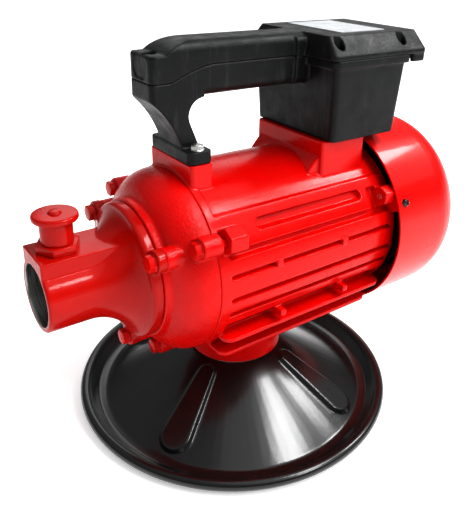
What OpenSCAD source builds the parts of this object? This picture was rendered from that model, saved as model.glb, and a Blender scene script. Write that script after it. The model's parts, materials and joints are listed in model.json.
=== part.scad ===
// Drive motor for a concrete vibrator hose, on a round swivel base, in millimetres.
// +Z is up and the motor shaft lies along X, with the coupling socket towards -X.
// The origin is the centre of the base on the floor.

/* [Base] */
// Diameter of the base dish over its rolled rim
base_d = 256; // [240:2:280]
// Radius at which the dish's cone meets its floor ring
cone_foot_r = 107; // [95:1:110]
// Height of the dish's flat hub
hub_z = 41; // [36:1:44]
// Radius of the flat hub
hub_r = 37; // [34:1:40]
// Thickness of the dish's sheet
sheet_t = 1.6; // [1.2:0.1:2]
// Azimuth of the first raised rib, the others follow at equal steps
rib_azimuth = 28; // [0:1:89]

/* [Motor] */
// Height of the shaft axis above the floor
axis_h = 134; // [130:1:140]
// Radius of the housing's lands
housing_r = 68; // [67:0.5:69]
// Front end of the housing, where the front shield joins it
housing_x0 = -58.3; // [-62:0.1:-57]
// Rear end of the housing
housing_x1 = 103; // [102:0.5:104]
// Radius of the post that turns on the base
post_r = 37.5; // [34:0.5:40]
// Radius of the fan cover
cover_r = 79.4; // [79.4:0.1:80]
// Front edge of the fan cover
cover_x0 = 101; // [100:0.5:102]
// Rear face of the fan cover
cover_x1 = 189; // [180:1:195]
// Radius of the fan cover's round rear edge
cover_round = 38; // [20:1:40]

/* [Coupling nose] */
// Front face of the coupling socket
socket_x = -156.8; // [-160:0.1:-154]
// Outer radius of the socket tube
socket_r = 25.2; // [24.8:0.1:26]
// Radius of the socket's mouth bore
mouth_r = 21.4; // [20.5:0.1:21.6]
// Depth of the mouth bore
mouth_depth = 12; // [8:0.5:12]
// Height of the flat on top of the tube above the shaft axis
flat_h = 29.1; // [28.8:0.1:30]
// Distance that the lock pin lifts
pin_travel = 6; // [4:0.5:6]

/* [Switch box and handle] */
// Underside of the switch box, on its pedestal
box_z0 = 214; // [214:0.5:216]
// Height of the joint between the box and its lid
split_z = 274; // [272:0.5:275]
// Top of the lid and of the grip
top_z = 290; // [289:0.5:291]
// Front of the box at the joint
box_x0 = 49; // [48:0.5:50]
// Half width of the box at the joint
box_half_w = 47.5; // [46:0.5:48]
// Half width of the handle
grip_half_w = 16; // [14:0.5:17]
// Front end of the handle
grip_x0 = -77; // [-79:0.5:-75]
// Underside of the grip
grip_z0 = 253; // [251:0.5:254]

/* [Hidden] */
$fn = 96;
slop = 0.01;
hull_fn = 32;
run_gap = 0.05;

// Base dish
rim_bead_r = 4.2;
rim_z = 6.75;
rim_ring_r = base_d / 2 - rim_bead_r;
floor_r = cone_foot_r + 6;
cone_slope = atan((hub_z - sheet_t) / (cone_foot_r - hub_r));
rib_count = 4;
rib_in_r = 47;
rib_out_r = 92;
rib_rise = 3;
rib_root = 1.4;

// Swivel pivot
pivot_r = 6;
bushing_r = 9;
bushing_flange = 2;
swivel_t = 1.25;
post_z0 = hub_z + swivel_t;
washer_z1 = hub_z - sheet_t - bushing_flange - 0.1;
washer_t = 2.4;
nut_t = 10;

// Housing
bore_r = 61;
groove_floor_r = 63.5;
top_r = 66.5;
groove_x0 = -50;
// Bottom and top of each side groove, above the shaft axis
side_grooves = [[22, 27.5], [8.6, 12], [-9, -5.4], [-21, -17.4]];
lower_relief = -28.5;
top_relief = 48;
fin_t = 3.4;
// Height above the shaft axis, half width and rear end of each long lower fin
lower_fins = [[-42, 66, 100], [-56.5, 60, 92]];
lug_angles = [150, 30, 270];
front_bolt_pcr = 72;
rear_bolt_pcr = 70;
// The housing's rear lugs end just short of the joint
lug_gap = 0.4;
// Turns the seams of the housing's round faces away from the lugs and fins
seam_turn = 20;
pedestal_x = [48, 92];
pedestal_half_w = 40;
foot_x = [-57.3, -39.5];
foot_half_w = 27.5;
foot_z = [211, 220];
foot_screw_y = 22;
foot_screw_x = (foot_x[0] + foot_x[1]) / 2;
wire_hole = [83, 0];
wire_hole_r = 7;

// Shields and shaft
shield_front_x = -90;
nose_pcr = 54;
bolt_r = 3;
front_bearing_x = -86.3;
rear_bearing_x = 89;
stator_x = [-25, 65];
air_gap = 0.4;
rotor_r = 36;
rear_lug_x1 = housing_x1 + 9;
ear_turn = 7.5;
cover_screw_x = housing_x1 + 5.5;
cover_t = 1.5;
fan_x = [119, 148];
fan_r = 64;
fan_blades = 8;

// Coupling nose and lock pin
flange_t = 7.5;
flange_rim_r = 48.5;
flare_round = 33;
flare_x = shield_front_x - 38;
inner_bore_r = 19.6;
flat_half_w = 17.1;
flat_z = axis_h + flat_h;
pin_x = -139.4;
pin_r = 3.5;
pin_tip_z = axis_h + 16.6;
guide_floor_z = axis_h + 22;
guide_hex_t = 5.4;
guide_r = 8.6;
guide_cavity_r = 6.3;
guide_top_z = flat_z + 12 + pin_travel;
collar_t = 2.5;
cap_t = 2.5;
knob_skirt_r = 10.4;
knob_r = 14.6;
knob_t = 4.3;
knob_top_z = flat_z + 25.2;

// Box, lid and handle
wall_t = 2.6;
box_x1 = box_x0 + 72;
taper = 3;
flange_z0 = split_z - 6;
lid_x = [44, 141];
lid_half_w = 50;
lid_lip = 3;
lid_top_x = [47.5, 137];
lid_top_half_w = 38.7;
lid_screws_at = [[54, 42.3], [54, -42.3], [117.5, 42.3], [117.5, -42.3]];
lid_seat_z = split_z + 4.5;
box_screws_at = [[60, 30], [60, -30], [84, 30], [84, -30]];
grip_end_z = 281.5;
grip_round = 8;
// Seam between the handle's halves, from the front end to the level stretch
grip_seam = [[grip_x0, 264], [-64, 264], [-50, 269.6], [-38, 273.2], [-31, split_z]];
end_screw_x = -70.5;
collar_x = 37;
collar_extra = 2.6;
switch_z = 243.5;
switch_face_x = 122;
rocker_pivot_x = 117;
rocker_rest = -8;
gland_x = 86;
gland_z = 236;
gland_y = 48;
cable_r = 4.2;
capacitor_at = [74, box_z0 + 33];
capacitor_r = 14;

// A child drawn along +Z is laid along +X, starting at x on the shaft axis.
module along_x(x) {
    translate([x, 0, axis_h]) rotate([0, 90, 0]) children();
}

// The same, but pointing towards -X.
module along_minus_x(x) {
    translate([x, 0, axis_h]) rotate([0, -90, 0]) children();
}

// Copies of a child laid along +X at radius r round the shaft axis.
module around_shaft(angles, x, r) {
    for (a = angles)
        translate([x, 0, axis_h]) rotate([a, 0, 0]) translate([0, r, 0]) rotate([0, 90, 0])
            children();
}

// Points on an arc round a centre.
function arc(centre, r, from, to, steps) =
    [for (i = [0 : steps]) let (a = from + (to - from) * i / steps)
        centre + r * [cos(a), sin(a)]];

// A rectangle with round corners, from p to q.
module round_rect(p, q, r) {
    translate([p[0] + r, p[1]]) square([q[0] - p[0] - 2 * r, q[1] - p[1]]);
    translate([p[0], p[1] + r]) square([q[0] - p[0], q[1] - p[1] - 2 * r]);
    for (x = [p[0] + r, q[0] - r], y = [p[1] + r, q[1] - r])
        translate([x, y]) circle(r = r);
}

// An upright slab with round corners.
module slab(x, half_w, z, r) {
    translate([0, 0, z[0]]) linear_extrude(height = z[1] - z[0])
        round_rect([x[0], -half_w], [x[1], half_w], r);
}

// A cross recess in a screw head of radius r, cut down from z = 0.
module cross_recess(r) {
    width = r / 4;
    for (a = [0, 90])
        rotate([0, 0, a]) translate([-r * 0.55, -width / 2, -r / 3])
            cube([r * 1.1, width, r / 3 + slop]);
}

// A pan head screw with its head's underside at z = 0.
module pan_screw(r, head_r, head_h, length) {
    difference() {
        union() {
            translate([0, 0, -length]) cylinder(r = r, h = length);
            cylinder(r1 = head_r, r2 = head_r * 0.72, h = head_h);
        }
        translate([0, 0, head_h]) cross_recess(head_r);
    }
}

// A hex bolt with a washer face, its seat at z = 0 and its shank downwards.
module hex_bolt(r, across, head_h, length) {
    translate([0, 0, -length]) cylinder(r = r, h = length);
    cylinder(d = across * 1.2, h = 0.8);
    translate([0, 0, 0.8]) cylinder(d = across / cos(30), h = head_h, $fn = 6);
}

// --- Base -----------------------------------------------------------------

function cone_z(r) = sheet_t + (cone_foot_r - r) * tan(cone_slope);

module on_cone(r) {
    translate([r, 0, cone_z(r)]) rotate([0, cone_slope, 0]) children();
}

module rib(azimuth) {
    rotate([0, 0, azimuth]) hull() {
        on_cone(rib_in_r) translate([0, 0, -rib_root])
            cylinder(r1 = 8.5, r2 = 6, h = rib_rise + rib_root, $fn = hull_fn);
        on_cone(rib_out_r) translate([0, 0, -rib_root])
            cylinder(r1 = 14, r2 = 11, h = rib_rise + rib_root, $fn = hull_fn);
    }
}

module dish_sheet() {
    wall_top = [rim_ring_r - rim_bead_r + 0.6, rim_z + 1.5];
    rotate_extrude($fn = 128) {
        polygon([
            [bushing_r, hub_z], [hub_r, hub_z], [cone_foot_r, sheet_t], [floor_r, sheet_t],
            wall_top, wall_top + [sheet_t, -1], [floor_r + 0.6, 0],
            [cone_foot_r - 0.8, 0], [hub_r - 0.8, hub_z - sheet_t], [bushing_r, hub_z - sheet_t],
        ]);
        translate([rim_ring_r, rim_z]) circle(r = rim_bead_r, $fn = 48);
    }
}

module base_dish() {
    color("black") {
        dish_sheet();
        for (k = [0 : rib_count - 1])
            rib(rib_azimuth + k * 360 / rib_count);
    }
}

module pivot_bushing() {
    z0 = hub_z - sheet_t - bushing_flange;
    color("goldenrod") difference() {
        union() {
            translate([0, 0, z0]) cylinder(r = 16, h = bushing_flange);
            translate([0, 0, z0]) cylinder(r = bushing_r, h = hub_z - z0);
        }
        translate([0, 0, z0 - 1]) cylinder(r = pivot_r + run_gap, h = hub_z - z0 + 2);
    }
}

module swivel_washer() {
    color("ivory") translate([0, 0, hub_z]) difference() {
        cylinder(r = post_r - 2, h = swivel_t);
        translate([0, 0, -1]) cylinder(r = bushing_r + 0.3, h = swivel_t + 2);
    }
}

module pivot_bolt() {
    length = 38;
    color("silver") translate([0, 0, washer_z1 - washer_t - nut_t - 3])
        cylinder(r = pivot_r, h = length);
}

module pivot_washer() {
    color("silver") translate([0, 0, washer_z1 - washer_t]) difference() {
        cylinder(r = 13, h = washer_t);
        translate([0, 0, -1]) cylinder(r = pivot_r, h = washer_t + 2);
    }
}

module pivot_nut() {
    color("silver") translate([0, 0, washer_z1 - washer_t - nut_t]) difference() {
        cylinder(d = 19 / cos(30), h = nut_t, $fn = 6);
        translate([0, 0, -1]) cylinder(r = pivot_r, h = nut_t + 2);
    }
}

// --- Motor housing -----------------------------------------------------------

// A slot with a round front end, cut through both sides of the housing.
module side_slot(z, x0, x1, round_rear) {
    height = z[1] - z[0];
    reach = 2 * housing_r;
    translate([0, 0, axis_h + (z[0] + z[1]) / 2]) rotate([90, 0, 0]) {
        translate([x0 + height / 2, 0, -reach]) cylinder(d = height, h = 2 * reach);
        translate([x0 + height / 2, -height / 2, -reach])
            cube([x1 - x0 - height, height, 2 * reach]);
        if (round_rear)
            translate([x1 - height / 2, 0, -reach]) cylinder(d = height, h = 2 * reach);
    }
}

// What is cut from the housing's outer skin, down to a given radius.
module skin_cut(floor_radius) {
    difference() {
        children();
        along_x(housing_x0 - 5) rotate([0, 0, seam_turn])
            cylinder(r = floor_radius, h = housing_x1 - housing_x0 + 10);
    }
}

module housing_shell() {
    length = housing_x1 - housing_x0;
    pocket = [35, 42];
    difference() {
        along_x(housing_x0) rotate([0, 0, seam_turn]) cylinder(r = housing_r, h = length);
        skin_cut(groove_floor_r) {
            for (groove = side_grooves)
                side_slot(groove, groove_x0, housing_x1 + 10, false);
            side_slot(pocket, -23, 76, true);
            translate([groove_x0, -100, axis_h + lower_relief - 60]) cube([length, 200, 60]);
            around_shaft(lug_angles, housing_x1 - 20, groove_floor_r - 8)
                translate([-9, 0, 0]) cube([18, 20, 10]);
        }
        skin_cut(top_r)
            translate([housing_x0 + 6, -100, axis_h + top_relief]) cube([length, 200, 60]);
    }
}

module lower_fin(fin) {
    nose_r = 8;
    translate([0, 0, axis_h + fin[0]]) linear_extrude(height = fin_t)
        round_rect([groove_x0 - 3, -fin[1]], [fin[2], fin[1]], nose_r);
}

// A lug for a bolt, with a web that reaches back to the housing's skin.
module lug(r, length, web) {
    half_w = r - 0.4;
    cylinder(r = r, h = length);
    translate([-half_w, -web, 0]) cube([2 * half_w, web, length]);
}

// A lug with flat faces and a ridge, like half of a large nut.
module block_lug(r, length, web) {
    half_w = r * cos(30);
    linear_extrude(height = length)
        polygon([[-half_w, -web], [half_w, -web], [half_w, r / 2], [0, r], [-half_w, r / 2]]);
}

module box_pedestal() {
    slab(pedestal_x, pedestal_half_w, [axis_h, box_z0], 3);
    translate([pedestal_x[0], 0, axis_h]) hull() {
        translate([0, -pedestal_half_w + 4, 0]) cube([6, 2 * pedestal_half_w - 8, 68]);
        translate([-9, -pedestal_half_w + 4, 0]) cube([1, 2 * pedestal_half_w - 8, 58]);
    }
}

module handle_pedestal() {
    slab([foot_x[0] + 0.3, foot_x[1]], foot_half_w + 1.2, [axis_h + 30, foot_z[0]], 3);
}

module nameplate_bosses() {
    size = 5;
    for (p = [[-13, 10.5], [49, 10.5], [-8, -31], [53, -31]])
        translate([p[0], -housing_r - 0.8, axis_h + p[1] - size / 2]) cube([size, 10, size]);
}

module housing_solid() {
    housing_shell();
    for (fin = lower_fins)
        lower_fin(fin);
    box_pedestal();
    handle_pedestal();
    nameplate_bosses();
    translate([0, 0, post_z0]) cylinder(r = post_r, h = axis_h - post_z0);
    around_shaft(lug_angles, housing_x0 + 5, front_bolt_pcr) block_lug(9.6, 14, 10);
    around_shaft(lug_angles, housing_x1 - 11, rear_bolt_pcr) block_lug(8.2, 11 - lug_gap, 8);
}

module motor_housing() {
    color("red") difference() {
        housing_solid();
        along_x(housing_x0 - 1) cylinder(r = bore_r, h = housing_x1 - housing_x0 + 2);
        around_shaft(lug_angles, housing_x0 - 1, front_bolt_pcr) cylinder(r = bolt_r, h = 30);
        around_shaft(lug_angles, housing_x1 - 13, rear_bolt_pcr) cylinder(r = 2.5, h = 30);
        translate([0, 0, post_z0 - 1]) cylinder(r = pivot_r, h = 30);
        translate([wire_hole[0], wire_hole[1], axis_h]) cylinder(r = wire_hole_r, h = 100);
        for (p = box_screws_at)
            translate([p[0], p[1], box_z0 - 14]) cylinder(r = 2, h = 20);
        for (y = [-foot_screw_y, foot_screw_y])
            translate([foot_screw_x, y, foot_z[0] - 14]) cylinder(r = 2.5, h = 20);
    }
}

module stator_core() {
    length = stator_x[1] - stator_x[0];
    color("dimgray") along_x(stator_x[0]) difference() {
        cylinder(r = bore_r, h = length);
        translate([0, 0, -1]) cylinder(r = rotor_r + air_gap, h = length + 2);
    }
}

module winding_ring(x) {
    along_x(x) rotate_extrude()
        round_rect([40, 0], [57, 19], 5);
}

module stator_windings() {
    color("chocolate") {
        winding_ring(stator_x[0] - 19);
        winding_ring(stator_x[1]);
    }
}

// --- End shields, bearings and bolts ---------------------------------------

module front_end_shield() {
    depth = housing_x0 - shield_front_x;
    shoulder = 26;
    color("red") difference() {
        union() {
            along_minus_x(housing_x0) rotate_extrude()
                polygon(concat(
                    [[57, -4], [bore_r, -4], [bore_r, 0], [housing_r - 0.5, 0]],
                    arc([housing_r - 0.5 - shoulder, 2], shoulder, 0, 70, 14),
                    [[50, depth], [17, depth], [17, 28], [23.5, 28], [23.5, 14]],
                    [[29, 14], [29, 22], [46, 22], [57, 10]]
                ));
            around_shaft(lug_angles, housing_x0 - 13.7, front_bolt_pcr) lug(7.5, 13.7, 8);
            around_shaft(lug_angles, shield_front_x, nose_pcr) lug(7.5, 16, 6);
        }
        around_shaft(lug_angles, housing_x0 - 20, front_bolt_pcr) cylinder(r = bolt_r, h = 30);
        around_shaft(lug_angles, shield_front_x - 1, nose_pcr) cylinder(r = bolt_r, h = 14);
    }
}

module front_shield_bolts() {
    color("firebrick") around_shaft(lug_angles, housing_x0 - 13.7, front_bolt_pcr)
        mirror([0, 0, 1]) hex_bolt(bolt_r, 10, 4.2, 28);
}

module bearing(x, bore, outer, width) {
    color("silver") along_x(x) difference() {
        cylinder(r = outer, h = width);
        translate([0, 0, -1]) cylinder(r = bore + run_gap, h = width + 2);
        for (z = [-1, width - 1])
            translate([0, 0, z]) difference() {
                cylinder(r = outer - 3, h = 2);
                cylinder(r = bore + 3, h = 2);
            }
    }
}

module front_bearing() { bearing(front_bearing_x, 10, 23.5, 14); }

module rear_bearing() { bearing(rear_bearing_x, 7.5, 17.5, 11); }

module shaft_seal() {
    color("black") along_x(shield_front_x) difference() {
        cylinder(r = 17, h = 3.5);
        translate([0, 0, -1]) cylinder(r = 10 + run_gap, h = 6);
    }
}

// An ear that reaches the inside of the fan cover and takes its screw.
module cover_ear(angle) {
    intersection() {
        translate([housing_x1, 0, axis_h]) rotate([angle, 0, 0])
            translate([1, 55, -6]) cube([7.4, 30, 12]);
        along_x(housing_x1) cylinder(r = cover_r - cover_t, h = 20);
    }
}

module rear_end_shield() {
    color("firebrick") difference() {
        union() {
            along_x(housing_x1) rotate_extrude()
                polygon([
                    [17.5, -14], [22.5, -14], [22.5, 1], [57, 1], [57, -4], [bore_r, -4],
                    [bore_r, 0], [66, 0], [66, 6], [9, 6], [9, -3], [17.5, -3],
                ]);
            around_shaft(lug_angles, housing_x1, rear_bolt_pcr) lug(6.3, 9, 8);
            for (a = lug_angles)
                cover_ear(a + ear_turn);
        }
        around_shaft(lug_angles, housing_x1 - 1, rear_bolt_pcr) cylinder(r = 2.5, h = 30);
        cover_screw_places() translate([0, 0, -14]) cylinder(r = 2, h = 20);
    }
}

module rear_shield_bolts() {
    color("silver") around_shaft(lug_angles, rear_lug_x1, rear_bolt_pcr)
        hex_bolt(2.5, 8, 3, 20);
}

// --- Rotor ------------------------------------------------------------------

// Radius, start and end of each step of the shaft.
shaft_steps = [
    [8, -128, -104], [10, -104, -72.2], [13, -72.2, -40], [15, -40, 80],
    [10, 80, 88.9], [7.5, 88.9, 100], [7, 100, fan_x[1] + 4],
];

module motor_shaft() {
    color("silver") for (step = shaft_steps)
        along_x(step[1]) cylinder(r = step[0], h = step[2] - step[1]);
}

module rotor_core() {
    ring = 8;
    length = stator_x[1] - stator_x[0];
    color("gray") difference() {
        union() {
            along_x(stator_x[0]) cylinder(r = rotor_r, h = length);
            along_x(stator_x[0] - ring) cylinder(r = rotor_r - 2, h = length + 2 * ring);
        }
        along_x(stator_x[0] - ring - 1) cylinder(r = 24, h = ring + 1);
        along_x(stator_x[1]) cylinder(r = 24, h = ring + 1);
        along_x(stator_x[0] - 1) cylinder(r = 15, h = length + 2);
    }
}

module cooling_fan() {
    depth = fan_x[1] - fan_x[0];
    color("black") along_x(fan_x[0]) difference() {
        union() {
            cylinder(r = fan_r, h = 2);
            cylinder(r = 14, h = depth);
            for (k = [0 : fan_blades - 1])
                rotate([0, 0, k * 360 / fan_blades]) translate([12, -1.2, 1])
                    cube([fan_r - 13, 2.4, depth - 5]);
        }
        translate([0, 0, -1]) cylinder(r = 7, h = depth + 2);
    }
}

module drive_coupling() {
    x0 = -133;
    length = 25;
    color("dimgray") along_x(x0) difference() {
        cylinder(r = 13, h = length);
        translate([0, 0, 5]) cylinder(r = 8, h = length);
        translate([0, 0, -1]) cylinder(r = 5.5, h = length);
        translate([-14, -3.2, -1]) cube([28, 6.4, 8]);
    }
}

// --- Fan cover ----------------------------------------------------------------

module cover_screw_places() {
    for (a = lug_angles)
        translate([cover_screw_x, 0, axis_h]) rotate([a + ear_turn, 0, 0])
            translate([0, cover_r, 0]) rotate([-90, 0, 0]) children();
}

module cover_skin() {
    length = cover_x1 - cover_x0;
    bend = [cover_r - cover_round, length - cover_round];
    rotate_extrude($fn = 128)
        polygon(concat(
            [[cover_r, 0]],
            arc(bend, cover_round, 0, 90, 12),
            [[0, length], [0, length - cover_t]],
            arc(bend, cover_round - cover_t, 90, 0, 12),
            [[cover_r - cover_t, 0]]
        ));
}

module fan_cover() {
    rows = [12, 19, 26, 33, 40];
    color("red") difference() {
        along_x(cover_x0) cover_skin();
        for (r = rows, k = [0 : round(r / 1.3) - 1])
            around_shaft([k * 360 / round(r / 1.3)], cover_x1 - 10, r)
                cylinder(r = 1.9, h = 20, $fn = 16);
        cover_screw_places() translate([0, 0, -5]) cylinder(r = 2.1, h = 10);
    }
}

module fan_cover_screws() {
    color("silver") cover_screw_places() translate([0, 0, 0.1]) pan_screw(2, 3.4, 2, 12);
}

// --- Coupling nose and lock pin -----------------------------------------------

module nose_body() {
    reach = shield_front_x - socket_x;
    flare = [socket_r + flare_round, shield_front_x - flare_x];
    along_minus_x(shield_front_x) rotate_extrude()
        polygon(concat(
            [[0, 0], [flange_rim_r, 0], [flange_rim_r, flange_t - 2], [flange_rim_r - 1.2, flange_t]],
            arc(flare, flare_round, 247, 180, 14),
            [[socket_r, reach - 1], [socket_r - 1, reach], [0, reach]]
        ));
    translate([socket_x, -flat_half_w, axis_h])
        cube([shield_front_x - socket_x - 12, 2 * flat_half_w, flat_h]);
}

module coupling_housing() {
    color("orangered") difference() {
        union() {
            nose_body();
            around_shaft(lug_angles, shield_front_x - 6, nose_pcr) lug(8, 6, 8);
        }
        along_x(socket_x - 1) cylinder(r = mouth_r, h = mouth_depth + 1);
        along_x(socket_x) cylinder(r = inner_bore_r, h = shield_front_x - socket_x + 1);
        around_shaft(lug_angles, shield_front_x - 20, nose_pcr) cylinder(r = bolt_r, h = 30);
        translate([pin_x, 0, axis_h]) cylinder(r = pin_r + run_gap, h = flat_h + 1);
        translate([pin_x, 0, guide_floor_z]) cylinder(r = 8, h = flat_h);
    }
}

module coupling_bolts() {
    color("firebrick") around_shaft(lug_angles, shield_front_x - 6, nose_pcr)
        mirror([0, 0, 1]) hex_bolt(bolt_r, 10, 4.2, 18);
}

module lock_guide() {
    color("silver") translate([pin_x, 0, 0]) difference() {
        union() {
            translate([0, 0, guide_floor_z]) cylinder(r = 8, h = flat_z - guide_floor_z);
            translate([0, 0, flat_z]) cylinder(d = 25 / cos(30), h = guide_hex_t, $fn = 6);
            translate([0, 0, flat_z]) cylinder(r = guide_r, h = guide_top_z - flat_z);
        }
        translate([0, 0, guide_floor_z - 1])
            cylinder(r = pin_r + run_gap, h = guide_top_z - guide_floor_z + 2);
        translate([0, 0, guide_floor_z + cap_t])
            cylinder(r = guide_cavity_r, h = guide_top_z - guide_floor_z - 2 * cap_t);
    }
}

module lock_pin() {
    color("silver") translate([pin_x, 0, 0]) {
        translate([0, 0, pin_tip_z]) cylinder(r = pin_r, h = knob_top_z - pin_tip_z);
        translate([0, 0, guide_floor_z + cap_t]) cylinder(r = guide_cavity_r - 0.3, h = collar_t);
        translate([0, 0, knob_top_z]) cylinder(r1 = 4.6, r2 = 3.4, h = 1.6);
    }
}

coil_turns = 6;
coil_steps = 12;
coil_sides = 6;
coil_r = 5.1;
wire_r = 0.6;
coil_z0 = guide_floor_z + cap_t + collar_t + wire_r;
coil_rise = guide_top_z - cap_t - wire_r - coil_z0;

// The ring of points round the spring's wire at step i.
function coil_ring(i) =
    let (a = i * 360 / coil_steps, z = coil_z0 + coil_rise * i / (coil_turns * coil_steps))
    [for (j = [0 : coil_sides - 1]) let (b = j * 360 / coil_sides, r = coil_r + wire_r * cos(b))
        [r * cos(a), r * sin(a), z + wire_r * sin(b)]];

module lock_spring() {
    last = coil_turns * coil_steps;
    points = [for (i = [0 : last]) each coil_ring(i)];
    start = [for (j = [coil_sides - 1 : -1 : 0]) j];
    finish = [for (j = [0 : coil_sides - 1]) last * coil_sides + j];
    sides = [for (i = [0 : last - 1], j = [0 : coil_sides - 1])
        let (k = (j + 1) % coil_sides, p = i * coil_sides, q = p + coil_sides)
        [p + j, q + j, q + k, p + k]];
    color("silver") translate([pin_x, 0, 0])
        polyhedron(points = points, faces = concat([finish, start], sides));
}

module lock_knob() {
    edge = 1.4;
    skirt_z = flat_z + guide_hex_t + 0.2;
    disc_z = knob_top_z - knob_t;
    color("orangered") translate([pin_x, 0, 0]) rotate_extrude()
        polygon(concat(
            [[pin_r, knob_top_z], [pin_r, disc_z], [guide_r + 0.3, disc_z]],
            [[guide_r + 0.3, skirt_z], [knob_skirt_r, skirt_z], [knob_skirt_r, disc_z]],
            arc([knob_r - edge, disc_z + edge], edge, -90, 0, 4),
            arc([knob_r - edge, knob_top_z - edge], edge, 0, 90, 4)
        ));
}

// --- Switch box with the lower half of the handle ------------------------------

module box_shell() {
    difference() {
        hull() {
            slab([box_x0 + taper, box_x1 - taper], box_half_w - 2.5, [box_z0, box_z0 + slop], 4);
            slab([box_x0, box_x1], box_half_w, [flange_z0, flange_z0 + slop], 4);
        }
        hull() {
            slab([box_x0 + taper + wall_t, box_x1 - taper - wall_t],
                box_half_w - 2.5 - wall_t, [box_z0 + 3, box_z0 + 3 + slop], 3);
            slab([box_x0 + wall_t, box_x1 - wall_t],
                box_half_w - wall_t, [split_z, split_z + slop], 3);
        }
    }
    difference() {
        slab([46, 124], lid_half_w, [flange_z0, split_z], 5);
        slab([box_x0 + wall_t, box_x1 - wall_t], box_half_w - wall_t,
            [flange_z0 - 1, split_z + 1], 3);
    }
}

// Outline of the handle's leg, seen from the side, with its scooped front.
module leg_outline() {
    leg_rear_x = -50.5;
    crook = 12;
    polygon(concat(
        [[grip_x0, split_z], [leg_rear_x + crook, split_z]],
        arc([leg_rear_x + crook, grip_z0 - crook], crook, 90, 202, 14),
        [[-42.5, foot_z[1] - 1], [-57, foot_z[1] - 1]],
        arc([-123.4, 200.5], 70, 17, 49, 10)
    ));
}

// The leg's front has a long round hollow that leans back with it.
module handle_leg() {
    scoop_at = [-88, 0, 240];
    scoop_tilt = 150.5;
    scoop_r = 13.5;
    difference() {
        intersection() {
            rotate([90, 0, 0]) translate([0, 0, -grip_half_w])
                linear_extrude(height = 2 * grip_half_w) leg_outline();
            slab([grip_x0, 0], grip_half_w, [foot_z[0], split_z], 5);
        }
        translate(scoop_at) rotate([0, scoop_tilt, 0])
            cylinder(r = scoop_r, h = 120, center = true);
    }
    slab(foot_x, foot_half_w, foot_z, 4);
}

// Cross-section of the grip, with its lower and upper edges rounded.
module grip_section(half_w) {
    rotate([90, 0, 90]) linear_extrude(height = box_x0 - grip_x0 + 1)
        round_rect([-half_w, grip_z0], [half_w, top_z], grip_round);
}

module grip_lower() {
    intersection() {
        translate([-45, 0, 0]) grip_section(grip_half_w);
        translate([-45, -50, 200]) cube([box_x0 + 46, 100, split_z - 200]);
    }
    intersection() {
        translate([collar_x, 0, 0]) grip_section(grip_half_w + collar_extra);
        translate([collar_x, -50, 200]) cube([box_x0 - collar_x + 1, 100, split_z - 200]);
    }
}

// The space over the handle's lower half, in front of the level stretch of its seam.
module above_seam() {
    front = grip_x0 - 1;
    end = grip_seam[len(grip_seam) - 1];
    rotate([90, 0, 0]) translate([0, 0, -50]) linear_extrude(height = 100)
        polygon(concat([[front, end[1] + 1], [front, grip_seam[0][1]]], grip_seam,
            [[end[0], end[1] + 1]]));
}

// Two ribs that carry the capacitor.
module capacitor_saddles() {
    width = 16;
    thick = 3;
    difference() {
        for (y = [-25, 22])
            translate([capacitor_at[0] - width / 2, y, box_z0 + 2])
                cube([width, thick, capacitor_at[1] - box_z0 - 7]);
        translate([capacitor_at[0], -40, capacitor_at[1]]) rotate([-90, 0, 0])
            cylinder(r = capacitor_r, h = 80);
    }
}

module box_bosses() {
    for (p = lid_screws_at)
        translate([p[0], p[1], split_z - 14]) cylinder(r = 3.2, h = 14);
    capacitor_saddles();
    translate([box_x1 - 8, -17, switch_z - 22]) cube([switch_face_x - box_x1 + 8, 34, 44]);
    translate([gland_x, gland_y - 5, gland_z]) rotate([-90, 0, 0]) cylinder(r = 14, h = 5);
}

module switch_box() {
    color("black") difference() {
        union() {
            box_shell();
            box_bosses();
            handle_leg();
            grip_lower();
        }
        translate([-64, -12, grip_z0 + 4]) cube([110, 24, 40]);
        translate([switch_face_x - 20, -11, switch_z - 14.4]) cube([25, 22, 28.8]);
        translate([gland_x, gland_y - 10, gland_z]) rotate([-90, 0, 0]) cylinder(r = 8, h = 20);
        translate([wire_hole[0], wire_hole[1], box_z0 - 1]) cylinder(r = wire_hole_r, h = 6);
        for (p = box_screws_at)
            translate([p[0], p[1], box_z0 - 1]) cylinder(r = 2, h = 6);
        for (p = lid_screws_at)
            translate([p[0], p[1], split_z - 12]) cylinder(r = 1.5, h = 20);
        for (y = [-foot_screw_y, foot_screw_y])
            translate([foot_screw_x, y, foot_z[0] - 1]) cylinder(r = 2.5, h = 20);
        translate([end_screw_x, 0, grip_seam[0][1] - 9]) cylinder(r = 2, h = 20);
        above_seam();
        gasket_groove();
    }
}

module box_screws() {
    color("silver") for (p = box_screws_at)
        translate([p[0], p[1], box_z0 + 3]) pan_screw(2, 4, 2.6, 13);
}

module handle_foot_screws() {
    color("silver") for (y = [-foot_screw_y, foot_screw_y])
        translate([foot_screw_x, y, foot_z[1]]) hex_bolt(2.5, 8, 2.6, 20);
}

// --- Lid with the upper half of the handle -------------------------------------

module gasket_groove() {
    difference() {
        slab([47.2, 122.8], lid_half_w - 1.2, [split_z - 2, split_z], 4);
        slab([49, 121], lid_half_w - 3, [split_z - 3, split_z + 1], 3);
    }
}

module lid_gasket() {
    color("dimgray") gasket_groove();
}

module lid_shell() {
    difference() {
        hull() {
            slab(lid_x, lid_half_w, [split_z, split_z + lid_lip], 5);
            slab(lid_top_x, lid_top_half_w, [top_z - slop, top_z], 2);
        }
        difference() {
            hull() {
                slab([box_x0 + 3, box_x1 - 3], 44, [split_z - 1, split_z + 1], 3);
                slab([box_x0 + 5, box_x1 - 5], 35, [top_z - 3 - slop, top_z - 3], 2);
            }
            for (p = lid_screws_at)
                translate([p[0], p[1], split_z - 2]) cylinder(r = 6.4, h = 20);
        }
        slab([box_x1 + 1.5, lid_x[1] - 6], 38, [split_z - 1, top_z - 4], 1.5);
    }
}

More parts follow.
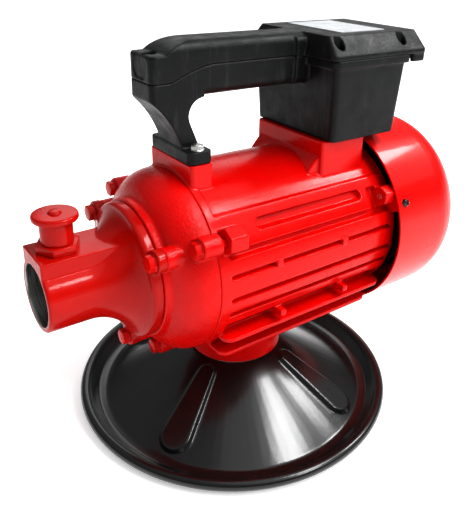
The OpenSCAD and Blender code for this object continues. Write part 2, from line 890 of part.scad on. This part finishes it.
// The skirt round the lid's overhang behind the box, open towards the box.
module rear_skirt() {
    half_w = lid_half_w - 2;
    inside = half_w - 3.5;
    z = [split_z - 6.5, split_z + 1];
    difference() {
        slab([128, lid_x[1]], half_w, z, 1.5);
        translate([127, -inside, z[0] - 1]) cube([lid_x[1] - 130.5, 2 * inside, z[1] - z[0] + 2]);
    }
}

// Outline of the grip's upper half, seen from the side, with its ramp to the front end.
module upper_grip_outline() {
    ramp_x = -42;
    ramp_round = 40;
    polygon(concat(
        [for (i = [len(grip_seam) - 1 : -1 : 0]) grip_seam[i]],
        arc([grip_x0 + 3, grip_end_z - 3], 3, 180, 90, 4),
        arc([ramp_x, top_z - ramp_round], ramp_round, 128, 90, 8),
        [[box_x0 + 2, top_z], [box_x0 + 2, split_z]]
    ));
}

module grip_upper() {
    intersection() {
        rotate([90, 0, 0]) translate([0, 0, -grip_half_w])
            linear_extrude(height = 2 * grip_half_w) upper_grip_outline();
        translate([grip_x0, 0, 0]) grip_section(grip_half_w);
        slab([grip_x0, box_x0 + 20], grip_half_w, [grip_seam[0][1], top_z], 5);
    }
    intersection() {
        translate([collar_x, 0, 0]) grip_section(grip_half_w + collar_extra);
        translate([collar_x, -50, split_z]) cube([box_x0 - collar_x + 1, 100, 13]);
    }
}

module end_panel() {
    translate([grip_x0 - 1, 0, 0]) rotate([90, 0, 90]) linear_extrude(height = 1.8)
        round_rect([-9.5, split_z - 7], [9.5, grip_end_z - 2], 7);
}

module box_lid() {
    color("black") difference() {
        union() {
            lid_shell();
            rear_skirt();
            grip_upper();
        }
        intersection() {
            translate([-58, -12, split_z - 5]) cube([112, 24, top_z - split_z + 1]);
            translate([0, 0, -4]) rotate([90, 0, 0]) translate([0, 0, -20])
                linear_extrude(height = 40) upper_grip_outline();
        }
        translate([40, -12, split_z - 5]) cube([14, 24, top_z - split_z + 1]);
        for (p = lid_screws_at) {
            translate([p[0], p[1], lid_seat_z]) cylinder(r = 3.9, h = 20);
            translate([p[0], p[1], split_z - 1]) cylinder(r = 1.5, h = 20);
        }
        translate([end_screw_x, 0, grip_end_z - 4]) cylinder(r = 5, h = 10);
        translate([end_screw_x, 0, grip_seam[0][1] - 1]) cylinder(r = 2, h = 20);
        end_panel();
    }
}

module lid_screws() {
    color("silver") for (p = lid_screws_at)
        translate([p[0], p[1], lid_seat_z]) pan_screw(1.5, 3, 2, 14);
}

module handle_end_screw() {
    color("silver") translate([end_screw_x, 0, grip_end_z - 4]) pan_screw(2, 4, 2.4, 20);
}

module label_plate() {
    color("gainsboro") slab([67, 112], 30.5, [top_z, top_z + 0.5], 1.5);
}

// --- Electrics ----------------------------------------------------------------

module switch_body() {
    window = 13;
    color("black") difference() {
        union() {
            translate([switch_face_x, -14, switch_z - 18]) cube([2.5, 28, 36]);
            translate([switch_face_x - 22, -10.8, switch_z - 14.2]) cube([23, 21.6, 28.4]);
        }
        translate([rocker_pivot_x - 6, -8, switch_z - window]) cube([20, 16, 2 * window]);
        translate([rocker_pivot_x, 20, switch_z]) rotate([90, 0, 0])
            cylinder(r = 1.5 + run_gap, h = 40);
    }
}

module switch_rocker() {
    color("darkred") translate([rocker_pivot_x, 0, switch_z]) rotate([90, rocker_rest, 0]) {
        translate([0, 0, -7.6]) linear_extrude(height = 15.2)
            polygon([[-3, -3], [7.5, -10.5], [10, -10.5], [8.6, 0], [10, 10.5], [7.5, 10.5], [-3, 3]]);
        translate([0, 0, -10.7]) cylinder(r = 1.5, h = 21.4);
    }
}

module terminal_block() {
    size = [18, 36, 11];
    color("beige") translate([56, -size[1] / 2, box_z0 + 3]) difference() {
        cube(size);
        for (k = [0 : 3], x = [4.5, 13.5])
            translate([x, 4.5 + 9 * k, 3]) cylinder(r = 2.4, h = 10);
    }
}

module capacitor() {
    length = 60;
    color("whitesmoke") translate([capacitor_at[0], -32, capacitor_at[1]]) rotate([-90, 0, 0]) {
        cylinder(r = capacitor_r, h = length);
        translate([0, 0, length]) cylinder(r = capacitor_r - 2, h = 3);
    }
}

module cable_gland() {
    color("dimgray") translate([gland_x, gland_y, gland_z]) rotate([-90, 0, 0]) difference() {
        union() {
            translate([0, 0, -8]) cylinder(r = 8, h = 8);
            cylinder(d = 22 / cos(30), h = 5, $fn = 6);
            translate([0, 0, 5]) cylinder(r1 = 10.5, r2 = 7.5, h = 11);
        }
        translate([0, 0, -9]) cylinder(r = cable_r, h = 30);
    }
}

base_dish();
pivot_bushing();
swivel_washer();
pivot_bolt();
pivot_washer();
pivot_nut();
motor_housing();
stator_core();
stator_windings();
front_end_shield();
front_shield_bolts();
front_bearing();
shaft_seal();
rear_end_shield();
rear_shield_bolts();
rear_bearing();
motor_shaft();
rotor_core();
cooling_fan();
drive_coupling();
fan_cover();
fan_cover_screws();
coupling_housing();
coupling_bolts();
lock_guide();
lock_pin();
lock_spring();
lock_knob();
switch_box();
box_screws();
handle_foot_screws();
box_lid();
lid_gasket();
lid_screws();
handle_end_screw();
label_plate();
switch_body();
switch_rocker();
terminal_block();
capacitor();
cable_gland();
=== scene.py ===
"""Looks of a concrete vibrator drive motor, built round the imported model.

All lengths are in metres, in the model's own frame: +Z up, X along the motor shaft.
"""

import json
import math

import bpy
import bmesh
from mathutils import Matrix, Vector


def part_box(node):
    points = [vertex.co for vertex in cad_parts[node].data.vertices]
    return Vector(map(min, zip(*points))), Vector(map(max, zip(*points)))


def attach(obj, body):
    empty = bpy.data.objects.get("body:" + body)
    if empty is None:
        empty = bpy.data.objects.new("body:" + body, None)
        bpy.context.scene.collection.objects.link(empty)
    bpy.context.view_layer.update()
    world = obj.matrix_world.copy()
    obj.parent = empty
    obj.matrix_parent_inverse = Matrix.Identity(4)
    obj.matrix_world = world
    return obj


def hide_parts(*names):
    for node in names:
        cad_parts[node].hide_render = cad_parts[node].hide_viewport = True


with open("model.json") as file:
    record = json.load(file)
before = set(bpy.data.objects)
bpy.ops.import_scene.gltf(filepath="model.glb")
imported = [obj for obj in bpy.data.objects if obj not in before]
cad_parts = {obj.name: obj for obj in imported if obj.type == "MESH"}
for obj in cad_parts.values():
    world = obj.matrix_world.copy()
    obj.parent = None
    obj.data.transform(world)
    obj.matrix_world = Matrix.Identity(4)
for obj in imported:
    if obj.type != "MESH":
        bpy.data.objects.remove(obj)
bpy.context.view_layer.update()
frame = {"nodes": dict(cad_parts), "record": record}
NODES = frame["nodes"]
AXIS_Z = sum(c.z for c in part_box("stator_core")) / 2
scene = bpy.context.scene


# --- Camera ----------------------------------------------------------------------

CAMERA_PLACE = (-0.2505, -0.3534, 0.3467)
CAMERA_TURN, CAMERA_DOWN, CAMERA_ROLL = 37.47, 22.82, 1.89
CAMERA_LENS = 43.06
CAMERA_SHIFT = (-0.040, -0.106)


def add_camera():
    """The camera stands in front of the socket's side, a little above the handle."""
    turn, down, roll = (math.radians(angle) for angle in (CAMERA_TURN, CAMERA_DOWN, CAMERA_ROLL))
    forward = Vector((math.sin(turn) * math.cos(down), math.cos(turn) * math.cos(down), -math.sin(down)))
    level_right = forward.cross(Vector((0, 0, 1))).normalized()
    level_up = level_right.cross(forward)
    right = math.cos(roll) * level_right + math.sin(roll) * level_up
    up = math.cos(roll) * level_up - math.sin(roll) * level_right
    data = bpy.data.cameras.new("camera")
    data.lens = CAMERA_LENS
    data.shift_x, data.shift_y = CAMERA_SHIFT
    data.clip_start, data.clip_end = 0.01, 20
    camera = bpy.data.objects.new("camera", data)
    axes = Matrix((right, up, -forward)).transposed().to_4x4()
    camera.matrix_world = Matrix.Translation(CAMERA_PLACE) @ axes
    scene.collection.objects.link(camera)
    scene.camera = camera


# --- Light, studio and floor -------------------------------------------------------

# Name, azimuth, elevation, distance, (width, height), radiance.
SOFTBOXES = (
    ("key", -48, 58, 1.5, (0.50, 0.34), 22.0),
    ("front", -70, 38, 1.6, (0.42, 0.22), 24.0),
    ("right", -16, 44, 1.6, (0.36, 0.30), 22.0),
    ("back", 54, 30, 2.0, (1.6, 0.6), 1.7),
)
SUN_AZIMUTH, SUN_ELEVATION, SUN_POWER, SUN_WIDTH = -50, 58, 0.9, 75
STUDIO_BELOW, STUDIO_ABOVE = (0.75, 0.75, 0.75, 1), (0.55, 0.56, 0.58, 1)
# Height on the ramp and grey: a pale band at the horizon, then dark, then lighter again.
STUDIO_BANDS = ((0.05, 0.62), (0.14, 0.16), (0.22, 0.14), (0.5, 0.42))
FLOOR_HALF, FLOOR_DROP = 6.0, 0.0002
FLOOR_GREY, FLOOR_ROUGHNESS, FLOOR_GLOW = 0.93, 0.8, 0.42


def direction(azimuth, elevation):
    """A unit vector. azimuth is from +X towards +Y, in degrees."""
    a, e = math.radians(azimuth), math.radians(elevation)
    return Vector((math.cos(e) * math.cos(a), math.cos(e) * math.sin(a), math.sin(e)))


def add_light(name, kind, azimuth, elevation, distance, power):
    """A light that stands in a given direction from the motor and points at it."""
    data = bpy.data.lights.new(name, kind)
    data.energy = power
    light = bpy.data.objects.new(name, data)
    towards = direction(azimuth, elevation)
    light.location = Vector((0, 0, AXIS_Z)) + towards * distance
    light.rotation_euler = towards.to_track_quat("Z", "Y").to_euler()
    scene.collection.objects.link(light)
    return data


def add_softbox(name, azimuth, elevation, distance, size, radiance):
    """A rectangular soft box, as bright to look at whatever its size."""
    power = radiance * math.pi * size[0] * size[1]
    data = add_light(name, "AREA", azimuth, elevation, distance, power)
    data.shape = "RECTANGLE"
    data.size, data.size_y = size


def add_sun():
    """A wide sun lights the floor evenly as far as the camera sees."""
    data = add_light("sun", "SUN", SUN_AZIMUTH, SUN_ELEVATION, 3, SUN_POWER)
    data.angle = math.radians(SUN_WIDTH)


def add_world():
    """A dim studio, lighter overhead, with a pale band where the floor ends."""
    world = bpy.data.worlds.new("studio")
    scene.world = world
    world.use_nodes = True
    nodes, links = world.node_tree.nodes, world.node_tree.links
    coords = nodes.new("ShaderNodeTexCoord")
    split = nodes.new("ShaderNodeSeparateXYZ")
    ramp = nodes.new("ShaderNodeValToRGB")
    links.new(coords.outputs["Generated"], split.inputs[0])
    links.new(split.outputs["Z"], ramp.inputs[0])
    stops = ramp.color_ramp.elements
    stops[0].position, stops[0].color = 0.0, STUDIO_BELOW
    stops[1].position, stops[1].color = 1.0, STUDIO_ABOVE
    for height, grey in STUDIO_BANDS:
        stop = stops.new(height)
        stop.color = (grey, grey, grey, 1)
    links.new(ramp.outputs[0], nodes["Background"].inputs["Color"])


def add_floor():
    """A large white floor with a little light of its own, so that it stays evenly pale."""
    mesh = bpy.data.meshes.new("floor")
    corners = [(x * FLOOR_HALF, y * FLOOR_HALF, 0) for x, y in ((-1, -1), (1, -1), (1, 1), (-1, 1))]
    mesh.from_pydata(corners, [], [(0, 1, 2, 3)])
    floor = bpy.data.objects.new("floor", mesh)
    floor.location.z = -FLOOR_DROP
    scene.collection.objects.link(floor)
    material = bpy.data.materials.new("floor_paper")
    material.use_nodes = True
    shader = material.node_tree.nodes["Principled BSDF"]
    shader.inputs["Base Color"].default_value = (FLOOR_GREY, FLOOR_GREY, FLOOR_GREY, 1)
    shader.inputs["Roughness"].default_value = FLOOR_ROUGHNESS
    shader.inputs["Emission Color"].default_value = (1, 1, 1, 1)
    shader.inputs["Emission Strength"].default_value = FLOOR_GLOW
    mesh.materials.append(material)


def set_view():
    scene.view_settings.view_transform = "Standard"
    scene.view_settings.gamma = 0.8
    scene.view_settings.exposure = 0.12


# --- Materials ---------------------------------------------------------------------

def shade(colour, factor, lift=0.0):
    """A colour made darker or lighter by a factor, then lifted by a fixed amount."""
    return tuple(min(1.0, c * factor + lift) for c in colour)


class Shader:
    """A Principled material with helpers for procedural detail in the model's own coordinates."""

    def __init__(self, name, **values):
        self.material = bpy.data.materials.new(name)
        self.material.use_nodes = True
        self.nodes = self.material.node_tree.nodes
        self.links = self.material.node_tree.links
        self.bsdf = self.nodes["Principled BSDF"]
        self.place = self.nodes.new("ShaderNodeTexCoord").outputs["Object"]
        for key, value in values.items():
            self.bsdf.inputs[key.replace("_", " ")].default_value = value

    def feed(self, socket, value):
        """Gives a socket another node's output, or a plain value."""
        if isinstance(value, bpy.types.NodeSocket):
            self.links.new(value, socket)
        else:
            socket.default_value = value

    def feed_colour(self, socket, colour):
        self.feed(socket, colour if isinstance(colour, bpy.types.NodeSocket) else (*colour, 1))

    def math(self, operation, a, b=0.0):
        node = self.nodes.new("ShaderNodeMath")
        node.operation = operation
        self.feed(node.inputs[0], a)
        self.feed(node.inputs[1], b)
        return node.outputs[0]

    def times(self, a, b):
        return self.math("MULTIPLY", a, b)

    def scaled(self, factors):
        """The coordinates times a factor for each axis, for detail that is long one way."""
        node = self.nodes.new("ShaderNodeMapping")
        self.links.new(self.place, node.inputs["Vector"])
        node.inputs["Scale"].default_value = factors
        return node.outputs[0]

    def noise(self, scale, detail=2.0, roughness=0.5, place=None):
        """Cloudy noise. scale is in lumps per metre."""
        node = self.nodes.new("ShaderNodeTexNoise")
        self.links.new(place or self.place, node.inputs["Vector"])
        node.inputs["Scale"].default_value = scale
        node.inputs["Detail"].default_value = detail
        node.inputs["Roughness"].default_value = roughness
        return node.outputs["Fac"]

    def stretched_noise(self, factors, detail=2.0, roughness=0.5):
        """Noise with its own scale for each axis: lines along the axis of the small factor."""
        return self.noise(1.0, detail, roughness, self.scaled(factors))

    def cells(self, scale):
        """The distance from the middle of small random cells."""
        node = self.nodes.new("ShaderNodeTexVoronoi")
        self.links.new(self.place, node.inputs["Vector"])
        node.inputs["Scale"].default_value = scale
        return node.outputs["Distance"]

    def remap(self, value, low, high, to_low=0.0, to_high=1.0):
        node = self.nodes.new("ShaderNodeMapRange")
        self.links.new(value, node.inputs["Value"])
        ends = {"From Min": low, "From Max": high, "To Min": to_low, "To Max": to_high}
        for key, number in ends.items():
            node.inputs[key].default_value = number
        return node.outputs[0]

    def spread(self, noise, to_low=0.0, to_high=1.0):
        """Noise stays near its middle. This stretches it over the whole of a range."""
        return self.remap(noise, 0.3, 0.7, to_low, to_high)

    def mix(self, factor, a, b):
        node = self.nodes.new("ShaderNodeMix")
        node.data_type = "RGBA"
        self.feed(node.inputs["Factor"], factor)
        self.feed_colour(node.inputs[6], a)
        self.feed_colour(node.inputs[7], b)
        return node.outputs[2]

    def over(self, tone, colour, mask, amount):
        """The tone with a colour laid over it where the mask is 1, as strongly as amount says."""
        return self.mix(self.times(mask, amount), tone, colour)

    def axis(self, name):
        node = self.nodes.new("ShaderNodeSeparateXYZ")
        self.links.new(self.place, node.inputs[0])
        return node.outputs[name]

    def edges(self, radius):
        """The rounded normal, and 1 on sharp edges and 0 on plain faces."""
        bevel = self.nodes.new("ShaderNodeBevel")
        bevel.samples = 4
        bevel.inputs["Radius"].default_value = radius
        geometry = self.nodes.new("ShaderNodeNewGeometry")
        dot = self.nodes.new("ShaderNodeVectorMath")
        dot.operation = "DOT_PRODUCT"
        self.links.new(bevel.outputs[0], dot.inputs[0])
        self.links.new(geometry.outputs["Normal"], dot.inputs[1])
        return bevel.outputs[0], self.remap(dot.outputs["Value"], 0.99, 0.8)

    def pointed(self, low, high):
        """From 0 to 1 where a dense mesh bends outwards."""
        geometry = self.nodes.new("ShaderNodeNewGeometry")
        return self.remap(geometry.outputs["Pointiness"], low, high)

    def bump(self, height, depth, strength=1.0, normal=None):
        node = self.nodes.new("ShaderNodeBump")
        node.inputs["Strength"].default_value = strength
        node.inputs["Distance"].default_value = depth
        self.links.new(height, node.inputs["Height"])
        if normal:
            self.links.new(normal, node.inputs["Normal"])
        return node.outputs[0]

    def finish(self, colour, roughness, normal, coat_normal=None):
        sockets = {"Base Color": colour, "Roughness": roughness, "Normal": normal,
                   "Coat Normal": coat_normal}
        for key, socket in sockets.items():
            if socket:
                self.links.new(socket, self.bsdf.inputs[key])
        return self.material


def cast_paint(name, colour, grain, dense=True):
    """Glossy paint on a casting. grain is the depth of the casting's texture under the paint.

    dense says that the mesh is fine enough to show its own edges.
    """
    s = Shader(name, Coat_Weight=0.36, Coat_Roughness=0.05, Specular_IOR_Level=0.05)
    tone = s.mix(s.spread(s.noise(14, 4, 0.6)), shade(colour, 0.80), shade(colour, 1.08))
    specks = s.remap(s.cells(420), 0.10, 0.02)
    tone = s.over(tone, shade(colour, 0.5), specks, 0.25)
    if dense:
        normal, edge = None, s.pointed(0.52, 0.60)
    else:
        normal, edge = s.edges(0.0009)
    # Painted highlight: the edges are painted a lighter red, as if they caught the light.
    tone = s.over(tone, shade(colour, 1.1, 0.02), edge, 0.35)
    roughness = s.spread(s.noise(60, 3), 0.22, 0.36)
    sand = s.math("ADD", s.noise(520, 3, 0.6), s.times(s.noise(1300, 2), 0.4))
    patches = s.remap(s.noise(22, 2), 0.35, 0.65, 0.4, 1.0)
    sandy = s.bump(s.times(sand, patches), grain, 1.0, normal)
    return s.finish(tone, roughness, sandy, sandy)


def gloss_paint(name, colour, coat, gloss, dense=True):
    """Smooth gloss paint on pressed steel. gloss is the roughness of its clear coat."""
    s = Shader(name, Coat_Weight=coat, Coat_Roughness=gloss, Specular_IOR_Level=0.12)
    tone = s.mix(s.spread(s.noise(18, 4)), shade(colour, 0.85), shade(colour, 1.1))
    edge = s.pointed(0.52, 0.58) if dense else s.edges(0.0006)[1]
    # Painted highlight: the edges are painted a lighter tone, as if they caught the light.
    tone = s.over(tone, shade(colour, 1.2, 0.02), edge, 0.25)
    roughness = s.spread(s.noise(40, 4), 0.25, 0.38)
    peel = s.bump(s.math("ADD", s.noise(240, 2), s.noise(60, 2)), 0.00004, 0.45)
    return s.finish(tone, roughness, peel, peel)


def moulded_plastic(name, colour, grain=0.00008, rough=(0.42, 0.58), scuffed=False):
    """Moulded plastic with a fine grain, a painted highlight along its edges and slightly polished
    edges.

    Scuffed plastic has its edges' lighter paint broken into patches, partly scuffs and partly painted
    highlight, and pale streaks as well.
    """
    s = Shader(name, Specular_IOR_Level=0.22)
    tone = s.mix(s.remap(s.noise(30, 4), 0.35, 0.65), shade(colour, 0.85), shade(colour, 1.15))
    normal, edge = s.edges(0.0014 if scuffed else 0.0006)
    if scuffed:
        edge = s.times(edge, s.remap(s.noise(70, 5, 0.7), 0.35, 0.6))
        streaks = s.remap(s.stretched_noise((150, 150, 22), 4, 0.65), 0.54, 0.70)
        tone = s.over(tone, shade(colour, 1.0, 0.03), streaks, 0.5)
    # Painted highlight: the edges are painted much lighter, as if they caught the light; on scuffed
    # plastic the patches stand for scuffs as well.
    tone = s.over(tone, shade(colour, 1.8, 0.09), edge, 0.8)
    roughness = s.math("SUBTRACT", s.spread(s.noise(90, 3), *rough), s.times(edge, 0.12))
    pits = s.math("ADD", s.noise(700, 3, 0.7), s.times(s.cells(900), 0.4))
    return s.finish(tone, roughness, s.bump(pits, grain, 0.6, normal))


def plated_steel(name, colour):
    """Plated steel: slightly cloudy metal with a painted highlight that makes its edges bright."""
    s = Shader(name, Metallic=1.0)
    normal, edge = s.edges(0.0004)
    tone = s.mix(s.spread(s.noise(300, 3)), shade(colour, 0.75), colour)
    # Painted highlight: the edges are painted near white, as if they glinted.
    tone = s.over(tone, (0.9, 0.9, 0.88), edge, 0.6)
    roughness = s.spread(s.noise(500, 3), 0.22, 0.42)
    return s.finish(tone, roughness, s.bump(s.noise(1800, 2), 0.00003, 0.4, normal))


def turned_steel(name, colour):
    """Machined metal with fine turning marks round the shaft's direction."""
    s = Shader(name, Metallic=1.0)
    normal, edge = s.edges(0.0003)
    rings = s.stretched_noise((2600, 30, 30), 3, 0.6)
    tone = s.mix(s.spread(rings), shade(colour, 0.7), shade(colour, 1.25))
    # Painted highlight: the edges are painted pale, as if they glinted.
    tone = s.over(tone, (0.8, 0.79, 0.77), edge, 0.7)
    return s.finish(tone, s.spread(rings, 0.2, 0.42), s.bump(rings, 0.00004, 0.5, normal))


def layered_iron(name, colour, pitch):
    """A stack of thin plates seen edge on, along the shaft."""
    s = Shader(name, Metallic=0.6)
    normal, edge = s.edges(0.0003)
    wave = s.math("SINE", s.times(s.axis("X"), 2 * math.pi / pitch))
    gaps = s.remap(wave, 0.6, 1.0)
    tone = s.mix(gaps, colour, shade(colour, 0.4))
    # Painted highlight: the edges are painted lighter, as if they caught the light.
    tone = s.over(tone, shade(colour, 2.0), edge, 0.4)
    roughness = s.spread(s.noise(120, 3), 0.45, 0.7)
    height = s.math("ADD", s.times(gaps, -1.0), s.noise(700, 2))
    return s.finish(tone, roughness, s.bump(height, 0.00008, 0.5, normal))


def wound_copper(name):
    """Varnished copper end turns: strands that run round the shaft."""
    s = Shader(name, Metallic=0.85, Coat_Weight=0.5, Coat_Roughness=0.15)
    strands = s.stretched_noise((900, 120, 120))
    tone = s.mix(s.remap(strands, 0.35, 0.65), (0.25, 0.08, 0.03), (0.72, 0.30, 0.13))
    return s.finish(tone, s.spread(strands, 0.25, 0.45), s.bump(strands, 0.0003, 0.7))


def soft_rubber(name):
    """Dull black rubber."""
    s = Shader(name, Specular_IOR_Level=0.3)
    normal, edge = s.edges(0.0004)
    tone = s.mix(s.spread(s.noise(80, 3)), (0.012, 0.012, 0.012), (0.03, 0.03, 0.03))
    # Painted highlight: the edges are painted a lighter grey, as if they caught the light.
    tone = s.over(tone, (0.08, 0.08, 0.08), edge, 0.3)
    roughness = s.spread(s.noise(300, 2), 0.6, 0.85)
    return s.finish(tone, roughness, s.bump(s.noise(900, 2), 0.00006, 0.5, normal))


def brushed_label(name):
    """A blank silver label with a faint brushed grain and smudges."""
    s = Shader(name, Metallic=0.25, Specular_IOR_Level=0.5)
    brushing = s.stretched_noise((60, 2400, 60), 2, 0.6)
    tone = s.mix(s.spread(brushing), (0.55, 0.57, 0.58), (0.70, 0.72, 0.73))
    smudges = s.remap(s.noise(45, 5, 0.7), 0.52, 0.72)
    tone = s.over(tone, (0.30, 0.31, 0.32), smudges, 0.35)
    return s.finish(tone, s.spread(brushing, 0.25, 0.4), s.bump(brushing, 0.00002, 0.4))


RED, NOSE_RED, BOLT_RED = (0.66, 0.0018, 0.0008), (0.46, 0.0045, 0.0018), (0.62, 0.004, 0.002)
BLACK, BOX_BLACK = (0.006, 0.0065, 0.0065), (0.007, 0.0077, 0.0077)
PALE_NYLON = dict(grain=0.00003, rough=(0.35, 0.5))
MATERIALS = {
    "red_paint": lambda: cast_paint("red_cast_paint", RED, 0.00016),
    "rough_red_paint": lambda: cast_paint("rough_red_cast_paint", RED, 0.0005),
    "cover_paint": lambda: gloss_paint("red_cover_paint", RED, 0.4, 0.09, dense=False),
    "nose_paint": lambda: cast_paint("nose_paint", NOSE_RED, 0.00006),
    "bolt_paint": lambda: cast_paint("bolt_paint", BOLT_RED, 0.00008, dense=False),
    "black_paint": lambda: gloss_paint("black_satin_paint", BLACK, 1.0, 0.18),
    "box_plastic": lambda: moulded_plastic("box_plastic", BOX_BLACK, 0.0003, (0.32, 0.52), scuffed=True),
    "fan_plastic": lambda: moulded_plastic("fan_plastic", (0.02, 0.02, 0.021)),
    "gland_plastic": lambda: moulded_plastic("gland_plastic", (0.016, 0.017, 0.0175)),
    "nylon": lambda: moulded_plastic("washer_nylon", (0.75, 0.73, 0.66), **PALE_NYLON),
    "terminal": lambda: moulded_plastic("terminal_nylon", (0.7, 0.66, 0.5), **PALE_NYLON),
    "capacitor": lambda: moulded_plastic("capacitor_case", (0.72, 0.73, 0.75), 0.00002, (0.25, 0.4)),
    "rocker": lambda: moulded_plastic("rocker_red", (0.42, 0.01, 0.008), 0.00002, (0.2, 0.32)),
    "zinc_steel": lambda: plated_steel("zinc_steel", (0.62, 0.62, 0.60)),
    "dark_steel": lambda: plated_steel("dark_steel", (0.10, 0.05, 0.05)),
    "machined_steel": lambda: turned_steel("turned_steel", (0.34, 0.33, 0.32)),
    "bore_steel": lambda: turned_steel("bored_steel", (0.36, 0.36, 0.35)),
    "bronze": lambda: turned_steel("turned_bronze", (0.62, 0.42, 0.20)),
    "rotor_alloy": lambda: turned_steel("rotor_alloy", (0.60, 0.61, 0.62)),
    "lamination": lambda: layered_iron("lamination", (0.16, 0.16, 0.17), pitch=0.0011),
    "copper": lambda: wound_copper("wound_copper"),
    "rubber": lambda: soft_rubber("soft_rubber"),
    "label": lambda: brushed_label("blank_label"),
}
_made = {}


def material(name):
    """The material of a look, made the first time that it is asked for."""
    if name not in _made:
        _made[name] = MATERIALS[name]()
    return _made[name]


# --- Pieces --------------------------------------------------------------------------

BODIES = frame["record"]["behaviour"]["bodies"]
BODY_OF = {node: body for body, nodes in BODIES.items() for node in nodes}
SLOT_OF = {s["node"]: s["material_slot"] for s in frame["record"]["subparts"]}
WELD_DISTANCE = 0.000002
BORE_RADIUS = 0.0219    # a little over the socket's bore, so that it takes in the bore's wall

# Node, name of the piece, look, size of the remesh, rounds of smoothing.
CASTINGS = (
    ("motor_housing", "housing_casting", "red_paint", 0.0007, 3),
    ("front_end_shield", "front_shield_casting", "rough_red_paint", 0.0008, 4),
    ("rear_end_shield", "rear_shield_casting", "red_paint", 0.001, 4),
    ("switch_box", "switch_box_moulding", "box_plastic", 0.0007, 4),
    ("box_lid", "box_lid_moulding", "box_plastic", 0.0007, 4),
    ("base_dish", "base_dish_pressing", "black_paint", 0.0008, 5),
    ("lock_knob", "lock_knob_turned", "nose_paint", 0.0004, 3),
)
# Node, look, width of the broken edges.
MACHINED = (
    ("front_shield_bolts", "bolt_paint", 0.0005),
    ("coupling_bolts", "bolt_paint", 0.0005),
    ("lock_guide", "nose_paint", 0.0003),
    ("handle_foot_screws", "zinc_steel", 0.0003),
    ("pivot_nut", "zinc_steel", 0.0006),
)
# CAD nodes that look unlike their material slot.
SPECIAL_LOOKS = {
    "fan_cover": "cover_paint",
    "fan_cover_screws": "dark_steel",
    "switch_body": "gland_plastic",
    "cable_gland": "gland_plastic",
}


def place(piece, node, look):
    """Lets a new piece stand for a CAD node, with the look's material."""
    piece.data.materials.clear()
    piece.data.materials.append(material(look))
    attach(piece, BODY_OF[node])
    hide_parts(node)
    return piece


def apply_modifiers(piece):
    graph = bpy.context.evaluated_depsgraph_get()
    mesh = bpy.data.meshes.new_from_object(piece.evaluated_get(graph))
    piece.modifiers.clear()
    piece.data = mesh


def smooth_faces(piece):
    piece.data.polygons.foreach_set("use_smooth", [True] * len(piece.data.polygons))


def edit_mesh(piece, edit):
    """Runs an edit on a piece's mesh."""
    work = bmesh.new()
    work.from_mesh(piece.data)
    edit(work)
    work.to_mesh(piece.data)
    work.free()


def welded_copy(node, name):
    """A copy of a CAD node's mesh with its faces joined along their edges."""
    piece = bpy.data.objects.new(name, NODES[node].data.copy())
    scene.collection.objects.link(piece)
    edit_mesh(piece, lambda work: bmesh.ops.remove_doubles(work, verts=work.verts, dist=WELD_DISTANCE))
    if "custom_normal" in piece.data.attributes:
        piece.data.attributes.remove(piece.data.attributes["custom_normal"])
    return piece


def cast_piece(node, name, look, voxel, rounds):
    """A casting or moulding: the CAD solid with every edge and inner corner rounded over."""
    piece = welded_copy(node, name)
    remesh = piece.modifiers.new("remesh", "REMESH")
    remesh.mode = "VOXEL"
    remesh.voxel_size = voxel
    smooth = piece.modifiers.new("smooth", "SMOOTH")
    smooth.factor = 0.5
    smooth.iterations = rounds
    apply_modifiers(piece)
    smooth_faces(piece)
    return place(piece, node, look)


def bevelled_piece(node, look, width):
    """A machined piece: the CAD solid with its sharp edges broken by a small bevel."""
    piece = welded_copy(node, node + "_finished")
    edit_mesh(piece, lambda work: bmesh.ops.dissolve_limit(
        work, angle_limit=math.radians(1), verts=work.verts, edges=work.edges))
    bevel = piece.modifiers.new("bevel", "BEVEL")
    bevel.width = width
    bevel.segments = 3
    bevel.limit_method = "ANGLE"
    bevel.angle_limit = math.radians(38)
    apply_modifiers(piece)
    smooth_faces(piece)
    piece.data.set_sharp_from_angle(angle=math.radians(40))
    return place(piece, node, look)


def second_material(piece, look, belongs):
    """Gives the faces whose centre passes a test another material."""
    piece.data.materials.append(material(look))
    for face in piece.data.polygons:
        if belongs(face.center):
            face.material_index = 1


def build_nose():
    """The coupling nose is painted outside and bare steel in its bore."""
    nose = cast_piece("coupling_housing", "nose_casting", "nose_paint", 0.0007, 4)
    shield_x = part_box("front_end_shield")[0].x
    second_material(nose, "bore_steel", lambda point: point.x < shield_x
                    and math.hypot(point.y, point.z - AXIS_Z) < BORE_RADIUS)


def build_lock_pin():
    """The lock pin is bare steel, with the end that shows above the knob painted like it."""
    pin = bevelled_piece("lock_pin", "machined_steel", 0.0003)
    painted_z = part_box("lock_knob")[1].z - 0.0001
    second_material(pin, "nose_paint", lambda point: point.z > painted_z)


def dress_cad_nodes():
    """Gives every CAD node its procedural material."""
    for name, node in NODES.items():
        node.data.materials.clear()
        node.data.materials.append(material(SPECIAL_LOOKS.get(name, SLOT_OF[name])))


add_camera()
add_world()
add_floor()
add_sun()
for softbox in SOFTBOXES:
    add_softbox(*softbox)
set_view()

for casting in CASTINGS:
    cast_piece(*casting)
build_nose()
for machined in MACHINED:
    bevelled_piece(*machined)
build_lock_pin()
dress_cad_nodes()
